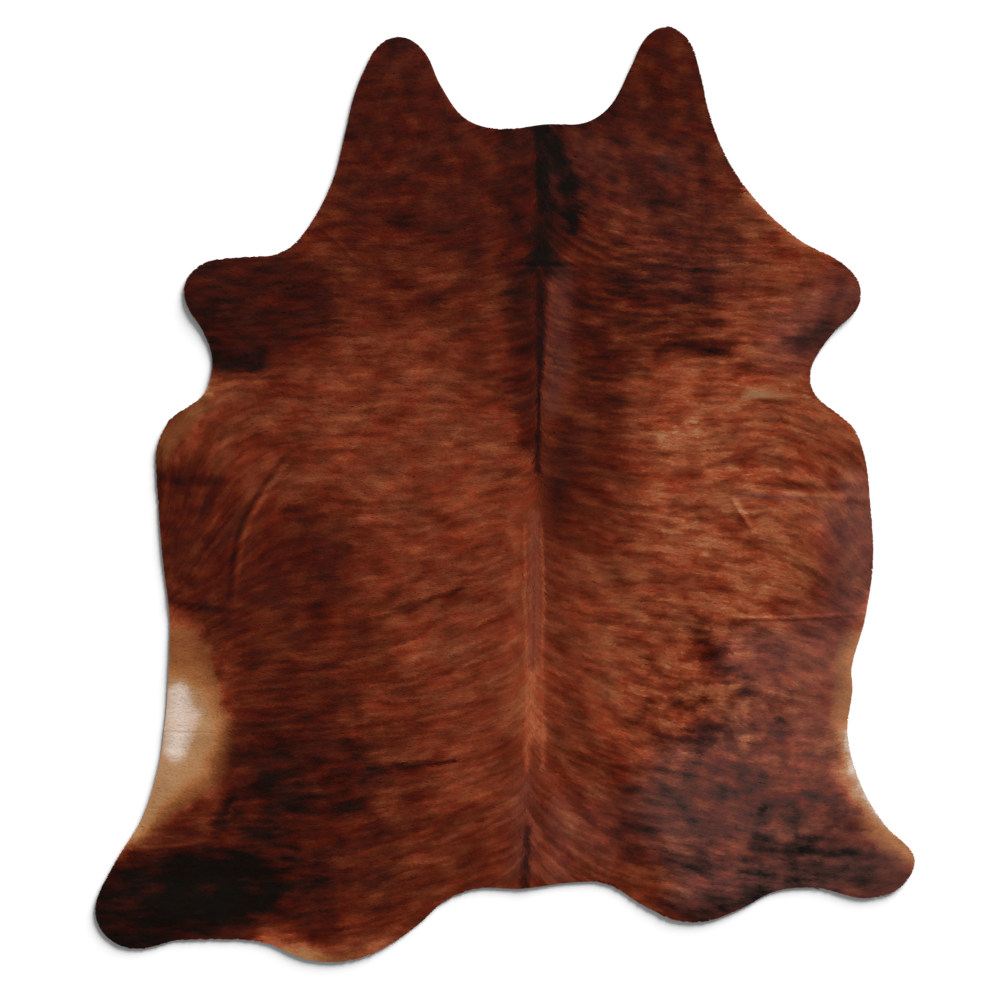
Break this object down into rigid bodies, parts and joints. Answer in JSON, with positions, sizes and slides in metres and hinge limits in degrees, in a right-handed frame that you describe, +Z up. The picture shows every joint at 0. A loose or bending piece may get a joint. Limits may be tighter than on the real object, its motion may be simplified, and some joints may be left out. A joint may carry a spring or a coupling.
{
  "type": "cowhide rug",
  "caption": "Whole cattle hide laid flat as a rug, hair side up, with a wavy trimmed edge, neck and leg lobes and low packing folds, in brown brindle short hair.",
  "frame": {"origin": "middle of the rug's bounding box, on the floor it lies on", "axes": "+Z up out of the floor, +Y from rump to neck along the spine, +X to the right seen from above with the neck away from the viewer"},
  "size_m": [1.8637, 2.1304, 0.0095],
  "materials": {
    "hide": "short flat hair, brown brindle, soft sheen"
  },
  "bodies": {
    "root": {"hide": "hide"}
  },
  "joints": []
}
